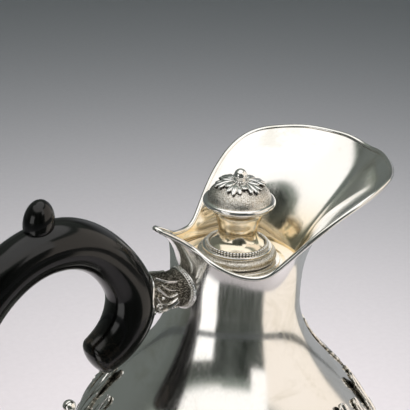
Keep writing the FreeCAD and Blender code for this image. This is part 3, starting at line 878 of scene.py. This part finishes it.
RELIEF_LEVEL = 0.72                 # share of the relief that lies below the socket's plain outline


def stroke_distance(a, b, points):
    """Distance on the unrolled skin to a smooth stroke through points."""
    distance = np.full(a.shape, 1e9)
    for x, y in through(points)(np.linspace(0, 1, 60)):
        distance = np.minimum(distance, np.hypot(a - x, b - y))
    return distance


def socket_relief(a, b, length):
    """Height of the cast ornament, a along the socket and b round it from the top."""
    b = np.abs(b)
    height = np.zeros_like(a)
    for points, width in RIDGES:
        height = np.maximum(height, bump(stroke_distance(a, b, points), width))
    for centre in CURLS:
        arc_points = arc(centre, CURL_R, 10, 250, 7)
        height = np.maximum(height, bump(stroke_distance(a, b, arc_points), 0.42))
    height = np.maximum(height, bump(np.hypot((a - BOSS[0]) / 1.3, b - BOSS[1]), 0.8))
    top_beads = np.hypot((a / 2.2 % 1.0 - 0.5) * 2.2, b - 1.5)
    height = np.maximum(height, 0.9 * bump(top_beads, 0.8))
    flutes = 0.3 * pillow(stroke_distance(a, b, RIDGES[0][0]) / 0.8)
    height = np.maximum(height, flutes)
    dots = bump(np.hypot(a - length + 1.7, (b / 1.15 % 1.0 - 0.5) * 1.15), 0.3)
    lip = smooth((a - length + 1.2) / 0.3)
    rim = smooth((1.3 - a) / 0.3)
    edge_band = smooth((a - length + 2.6) / 0.4)
    height = lerp(height, 0.62 - 0.5 * dots, edge_band)
    return np.maximum(height, np.maximum(0.95 * lip, 0.9 * rim))


def socket(centres, radii, from_ebony, around=280):
    """Cast silver socket round a line, standing on the body, with its ornament in relief."""
    rings = clipped(tube_rings(centres, radii, around), from_ebony)
    steps = np.linalg.norm(np.diff(rings, axis=0), axis=2)
    along = np.concatenate([np.zeros((1, around)), np.cumsum(steps, axis=0)])
    turns = (ring_turns(around) + math.pi) % (2 * math.pi) - math.pi
    round_b = np.repeat(turns[None, :] * SOCKET_MEAN_R, len(rings), 0)
    length = along[-1:]
    relief = socket_relief(along, round_b, length)
    if not from_ebony:
        relief = np.maximum(relief, socket_relief(length - along, round_b, length + 9.0))
    middle = rings.mean(axis=1, keepdims=True)
    rings = rings + unit(rings - middle) * ((relief - RELIEF_LEVEL) * RELIEF_HEIGHT)[..., None]
    points, faces = capped(rings)
    # Low ground between the ornament darkens: oxide and painted shade.
    recess = np.clip(1.05 - relief * 1.3, 0, 1)
    return points, faces, np.concatenate([recess.ravel(), [0.0, 0.0]])


def make_upper_socket():
    """Socket between the ebony and the neck."""
    profile = through([(-8.0, 9.3), (0.0, 9.3), (4.0, 8.9), (8.0, 8.6), (11.5, 9.2), (15.0, 10.4),
                       (16.5, 10.8)])
    shape = profile(np.linspace(0, 1, 240))
    centres = np.stack([SOCKET_X + shape[:, 0], 0 * shape[:, 0], UPPER_MOUNT_Z + 0 * shape[:, 0]], -1)
    return socket(centres, shape[:, 1], True)


def make_lower_socket():
    """Socket between the handle's lower end and the belly."""
    tail = [tuple(p) for p in HANDLE(np.linspace(37 / 40, 1, 4))]
    line = through(tail + [(-77.0, 0.0, rel(-88.6)), (-62.0, 0.0, rel(-91.0))])
    shares = np.linspace(0, 1, 200)
    radii = lerp(9.4, 8.8, smooth(shares * 2)) + 4.2 * smooth((shares * 16 - 8) / 6)
    return socket(line(shares), radii, False)


def make_stem():
    """Small stem that curls up from the lower socket to its ball."""
    line = through([(-84.0, 0.0, rel(-78.5)), (-89.0, 0.0, rel(-71.0)), (-86.6, 0.0, rel(-62.6))])
    shares = np.linspace(0, 1, 60)
    return capped(tube_rings(line(shares), lerp(3.6, 1.5, shares), 40))


def make_ball():
    """Ball at the end of the stem."""
    points, faces = turned_capped(arc((0, 0), BALL_R, -88, 88, 40), 72)
    return points + BALL, faces


# ---- lid ----
def lid_ring(inner, edge, bulge, bottom, top):
    """Outline of a flat ring with a rounded edge, heights from the lid's step."""
    z = np.linspace(-1, 1, 15)
    side = np.stack([edge + (bulge - edge) * np.sqrt(1 - z ** 2), rel(lerp(bottom, top, (z + 1) / 2))], -1)
    return np.concatenate([[(inner, rel(bottom)), (edge - 0.4, rel(bottom))], side,
                           [(edge - 0.4, rel(top)), (inner, rel(top))]])


def plain_ring(name, inner, edge, bulge, bottom, top, node):
    """Polished ring of the lid that stands for a node."""
    piece(name, turned(lid_ring(inner, edge, bulge, bottom, top), 200), POLISHED, "lid", [node])


KNURL_COUNT = 168
KNURL_SLANT = 6                     # how many knurls the pattern leans over from edge to edge
KNURL_DEPTH = 0.13
KNURL_SEGMENTS = 6 * KNURL_COUNT


def knurl_groove(turns, share):
    """Depth 0 to 1 of the slanting grooves round the lid's band."""
    return 1 - pillow(turns * KNURL_COUNT / (2 * math.pi) + share * KNURL_SLANT)


def make_knurled_band():
    """Bulging band with fine slanting grooves."""
    z = np.linspace(-1, 1, 25)
    side = np.stack([16.0 + 2.0 * np.sqrt(1 - z ** 2), rel(lerp(-6.2, -1.8, (z + 1) / 2))], -1)
    outline = np.concatenate([[(12.0, rel(-6.2))], side, [(12.0, rel(-1.8))]])

    def knurl(turns, share):
        return -KNURL_DEPTH * knurl_groove(turns, share) * smooth(np.minimum(share, 1 - share) * 12)

    points, faces = turned(outline, KNURL_SEGMENTS, knurl)
    turns = np.arctan2(points[:, 1], points[:, 0]) % (2 * math.pi)
    share = np.repeat(np.linspace(0, 1, len(outline)), KNURL_SEGMENTS)
    return points, faces, knurl_groove(turns, share)


def make_lid():
    """Plate, rings and steps of the lid below its knob."""
    plate = rounded([(BORE_R, rel(-8.2)), (20.0, rel(-8.2)), (22.0, rel(PLATE_LOW)),
                     (PLATE_R, rel(PLATE_LOW)), (PLATE_R, rel(-8.0)), (22.4, rel(-8.0)),
                     (20.4, rel(-7.2)), (BORE_R, rel(-7.2))], 0.3)
    piece("lid_cover", turned(plate, 200), POLISHED, "lid", ["lid_plate"])
    plain_ring("lid_flange", 14.0, 19.3, 19.8, -7.2, -6.2, "lid_base_ring")
    piece("lid_knurled_band", make_knurled_band(), MATTED, "lid", ["lid_matted_band"])
    plain_ring("lid_disc", BORE_R, 15.3, 15.9, -1.8, 0.0, "lid_step")
    piece("lid_beads", bead_row(13.5, rel(0.9), 0.9, 60), CHASED, "lid", ["lid_beading"])


WAIST_GOLD_REFLECTION_SHARE = 0.7                    # share of the painted golden reflection on the waist
CAP_RINGS, CAP_SEGMENTS = 64, 380
STIPPLE = 0.07                      # height of the stippling on the dome


def dome_height(radius):
    """Height of the knob's dome above the lid's step."""
    return DOME_LOW + (DOME_HIGH - DOME_LOW) * np.sqrt(np.maximum(1.0 - (radius / DOME_R) ** 2.2, 0.0))


def make_waist():
    """Hollow waist of the knob, with the painted golden reflection of the mouth's depth."""
    outline = through([(14.0, rel(18.6)), (12.0, rel(16.8)), (10.4, rel(13.2)), (8.9, rel(6.8)),
                       (9.9, rel(3.4)), (12.3, rel(1.1))])
    points, faces = turned_shell(outline(np.linspace(0, 1, 70)), 0.9)
    return points, faces, np.full(len(points), WAIST_GOLD_REFLECTION_SHARE)


def make_cap():
    """Dome stippled all over its top."""
    reach = BORE_R + (DOME_R - BORE_R) * np.sin(np.linspace(0, math.pi / 2, CAP_RINGS))
    height = rel(dome_height(reach))
    top = np.stack([reach, height], -1)
    under = np.stack([reach * 0.93, height - 0.9], -1)
    outline = np.concatenate([top, under[-5:0:-1]])
    grain = RNG.uniform(-1, 1, (len(outline), CAP_SEGMENTS))
    on_top = np.arange(len(outline))[:, None] < CAP_RINGS - 2

    def stipple(turns, share):
        return STIPPLE * grain * on_top

    points, faces = turned(outline, CAP_SEGMENTS, stipple)
    return points, faces, np.clip(-grain, 0, 1).ravel() * 0.8


def make_button():
    """Ball on a short moulded neck."""
    ball = arc((0, rel(33.5)), 2.9, 88, -58, 30)
    neck = [(2.1, rel(31.6)), (2.9, rel(31.5)), (3.3, rel(31.2)), (3.2, rel(30.9)), (0.3, rel(30.8))]
    return turned_capped(np.concatenate([ball, neck]), 96)


def make_knob():
    """Waist, ring, cap, leaves and ball of the knob."""
    piece("knob_spool", make_waist(), POLISHED, "lid", ["knob_waist"])
    plain_ring("knob_ring", BORE_R, 15.0, 16.3, 19.7, DOME_LOW, "knob_collar")
    piece("knob_cap", make_cap(), MATTED, "lid", ["knob_dome"])
    piece("knob_leaves", make_rosette(), CHASED, "lid", ["knob_rosette"])
    piece("knob_ball", make_button(), POLISHED, "lid", ["knob_button"])


def finger(start, end, half_width, thick):
    """Plump lobe of a small leaf that lies on the knob's dome, from start to end in plan."""
    u = np.linspace(0, 1, 18)[:, None]
    spot = lerp(np.array(start), np.array(end), u)
    radius = np.hypot(spot[:, 0], spot[:, 1])
    step = 0.05
    slope = (dome_height(radius + step) - dome_height(radius)) / step
    outward = spot / radius[:, None]
    up = unit(np.concatenate([-outward * slope[:, None], np.ones_like(radius)[:, None]], 1))
    centre = np.concatenate([spot, rel(dome_height(radius))[:, None]], 1) + up * (0.45 + 0.45 * u ** 2)
    across = unit(np.cross(up, unit(np.gradient(centre, axis=0))))
    shape = np.sqrt(np.clip(1.0 - (2.0 * u ** 1.6 - 1.0) ** 2, 0, 1)) + 0.02
    turn = ring_turns(20)[None, :]
    side, top = np.cos(turn) * shape, np.sin(turn) * (0.35 + 0.65 * shape)
    crease = 0.22 * bump(np.cos(turn), 0.25) * (np.sin(turn) > 0) * shape
    rings = (centre[:, None] + across[:, None] * (side * half_width)[..., None]
             + up[:, None] * ((top - crease) * thick)[..., None])
    points, faces = capped(rings)
    # Flanks and underside of the lobe darken towards the dome: oxide and painted shade.
    recess = np.clip(0.75 - np.sin(turn) * 1.1, 0, 1) + 2.2 * crease + 0 * shape
    return points, faces, np.concatenate([recess.ravel(), [0.3, 0.3]])


# Lobes of one rosette leaf: start and end along and across the leaf, half width and thickness.
LOBES = (
    ((2.6, 0.0), (11.4, 0.0), 1.35, 0.95),
    ((5.2, 0.6), (10.2, 2.9), 1.15, 0.85),
    ((3.4, 0.8), (7.4, 4.1), 1.15, 0.8),
)


def make_rosette():
    """Six small five-lobed leaves that spread over the dome from one hub."""
    parts = []
    for k in range(6):
        turn = math.radians(40 + 60 * k)
        along = np.array([math.cos(turn), math.sin(turn)])
        across = np.array([-along[1], along[0]])
        for start, end, half_width, thick in LOBES:
            for side in (1, -1) if end[1] else (1,):
                ends = [along * a + across * b * side for a, b in (start, end)]
                parts.append(finger(*ends, half_width, thick))
    parts.append(bead_row(3.4, rel(DOME_HIGH + 0.5), 0.55, 22))
    return join(parts)


# ---- carried-over parts ----
def dress(node, finish):
    """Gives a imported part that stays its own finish."""
    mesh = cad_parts[node].data
    mesh.materials.clear()
    mesh.materials.append(finish[0])
    shade_smooth(mesh, 35.0)


def build_object():
    """Every visible piece."""
    piece("vessel_body", make_body(), POLISHED, "vessel", ["belly_shell", "mouth_shell"])
    piece("mouth_wire", make_rim_wire(), POLISHED, "vessel", ["rim_wire"])
    make_leaves()
    make_foot()
    piece("ebony_scroll", make_handle(), EBONY, "vessel", ["handle"])
    piece("neck_socket", make_upper_socket(), CHASED, "vessel", ["upper_socket", "upper_collar"])
    piece("belly_socket", make_lower_socket(), CHASED, "vessel", ["lower_socket"])
    piece("socket_curl", make_stem(), (POLISHED[0], CHASED[1]), "vessel", ["lower_scroll"])
    piece("curl_ball", make_ball(), POLISHED, "vessel", ["lower_ball"])
    make_lid()
    make_knob()
    for node in ("lower_collar", "lower_rivet", "upper_stud", "lid_seat", "lid_bezel",
                 "knob_rod", "knob_nut"):
        dress(node, POLISHED)


# ---- studio ----
def make_floor():
    """Plain pale floor."""
    work = bmesh.new()
    bmesh.ops.create_circle(work, cap_ends=True, segments=96, radius=4.0)
    mesh = bpy.data.meshes.new("floor")
    work.to_mesh(mesh)
    work.free()
    mesh.materials.append(plain_floor())
    floor = add_object("floor", mesh)


# What the silver mirrors, over a dark green-grey room: middle azimuth from +X and half width, lowest and
# highest elevation, softness of the edges (all in degrees), and brightness.
ROOM_DARK = (0.03, 0.035, 0.03)
ROOM_LIGHT = (0.11, 0.12, 0.11)
CARDS = (
    (100.0, 45.0, -25.0, 40.0, 22.0, (0.135, 0.15, 0.14)),
    (0.0, 181.0, 35.0, 90.0, 4.0, (0.21, 0.24, 0.21)),
    (28.0, 24.0, -90.0, 24.0, 9.0, (0.36, 0.37, 0.38)),
    (-35.0, 40.0, -90.0, 46.0, 2.5, (0.97, 0.885, 0.79)),
    (-84.0, 11.0, 25.0, 62.0, 2.0, (1.15, 1.12, 1.08)),
    (-125.0, 36.0, 42.0, 62.0, 2.5, (1.15, 1.12, 1.08)),
    (193.0, 14.5, -90.0, 20.0, 1.5, (1.25, 1.24, 1.22)),
    (0.0, 181.0, 57.0, 95.0, 3.0, (1.2, 1.19, 1.17)),
    (178.0, 46.0, 40.0, 62.0, 4.0, (1.12, 1.1, 1.07)),
)


def surroundings(tree, direction):
    """Colour of the studio in a direction."""
    x, y, z = tree.split(direction)
    azimuth = tree.math("DEGREES", tree.math("ARCTAN2", y, x))
    elevation = tree.math("DEGREES", tree.math("ARCSINE", z))
    streaks = tree.noise(2.2, 3.0, 0.6, stretch=(1.0, 1.0, 0.35))
    colour = tree.ramp(streaks, [(0.35, ROOM_DARK), (0.65, ROOM_LIGHT)])
    for middle, half, lowest, highest, soft, shade in CARDS:
        away = tree.math("ABSOLUTE", tree.math("WRAP", tree.math("SUBTRACT", azimuth, middle), 180.0, -180.0))
        share = tree.remap(away, half - soft, half + soft, 1.0, 0.0, True)
        over = tree.remap(elevation, lowest - soft, lowest + soft, 0.0, 1.0, True)
        under = tree.remap(elevation, highest - soft, highest + soft, 1.0, 0.0, True)
        share = tree.math("MULTIPLY", share, tree.math("MULTIPLY", over, under))
        colour = tree.blend(share, colour, shade)
    return colour


def make_world():
    """Softboxes and dark cards far round the pitcher, for the silver to mirror."""
    world = bpy.data.worlds.new("studio")
    bpy.context.scene.world = world
    world.use_nodes = True
    tree = Tree(world.node_tree, "Generated")
    tree.link(surroundings(tree, tree.place), world.node_tree.nodes["Background"].inputs["Color"])
    world.cycles_visibility.diffuse = False


SKIRT_R, SKIRT_TOP = 0.3, 0.13


def make_skirt():
    """Low ring of cards on the floor, which only the silver's reflections see."""
    ring = polar(SKIRT_R, ring_turns(96), 0.0)
    points = np.concatenate([ring, ring + (0, 0, SKIRT_TOP)])
    mesh = bpy.data.meshes.new("skirt")
    mesh.from_pydata(points.tolist(), [], grid_quads(2, 96, False, True).tolist())
    material = bpy.data.materials.new("skirt")
    material.use_nodes = True
    material.node_tree.nodes.clear()
    tree = Tree(material.node_tree)
    level = tree.add("ShaderNodeVectorMath", operation="MULTIPLY")
    level.inputs[1].default_value = (1.0, 1.0, 0.0)
    tree.link(tree.place, level.inputs[0])
    glow = tree.add("ShaderNodeEmission")
    tree.link(surroundings(tree, level.outputs["Vector"]), glow.inputs["Color"])
    tree.link(glow.outputs["Emission"], tree.add("ShaderNodeOutputMaterial").inputs["Surface"])
    mesh.materials.append(material)
    skirt = add_object("skirt", mesh)
    skirt.visible_camera = skirt.visible_diffuse = skirt.visible_shadow = False


def make_lights():
    """Soft overhead light that pools on the floor beside the pitcher."""
    data = bpy.data.lights.new("overhead", "AREA")
    data.shape = "DISK"
    data.size = 0.35
    data.energy = 4.9
    data.color = (1.0, 0.985, 0.99)
    light = add_object("overhead", data)
    light.location = (0.1, 0.12, 0.62)
    light.visible_camera = light.visible_glossy = False


CAMERA_AZIMUTH = 35.0       # turned from looking along +Y towards +X
CAMERA_DROP = 25.0          # degrees below the horizon
CAMERA_ROLL = 3.0
CAMERA_DISTANCE = 0.75      # from the lid's step
FOCAL = 4.06                # lens length in frame widths
AIM_RIGHT = 0.0783          # how far right of and below the frame's middle the lid's step lies
AIM_DOWN = 0.0937


def make_camera():
    """Camera in a three-quarter view from above, aimed so that the lid's step lies off the middle."""
    a, e, roll = (math.radians(v) for v in (CAMERA_AZIMUTH, CAMERA_DROP, CAMERA_ROLL))
    forward = Vector((math.sin(a) * math.cos(e), math.cos(a) * math.cos(e), -math.sin(e)))
    level = Vector((math.cos(a), -math.sin(a), 0))
    upright = level.cross(forward)
    right = level * math.cos(roll) + upright * math.sin(roll)
    up = upright * math.cos(roll) - level * math.sin(roll)
    target = Vector((0, 0, LID_Z * MM))
    place = target - forward * CAMERA_DISTANCE
    look = (forward - right * (AIM_RIGHT / FOCAL) + up * (AIM_DOWN / FOCAL)).normalized()
    right = (right - look * right.dot(look)).normalized()
    up = right.cross(look)
    data = bpy.data.cameras.new("camera")
    data.sensor_width = 36.0
    data.lens = FOCAL * data.sensor_width
    camera = add_object("camera", data)
    matrix = Matrix((right, up, -look)).transposed().to_4x4()
    matrix.translation = place
    camera.matrix_world = matrix
    bpy.context.scene.camera = camera


def build_studio():
    """Floor, lights, world and camera."""
    make_floor()
    make_world()
    make_skirt()
    make_lights()
    make_camera()
    bpy.context.scene.view_settings.view_transform = "Standard"


build_object()
build_studio()
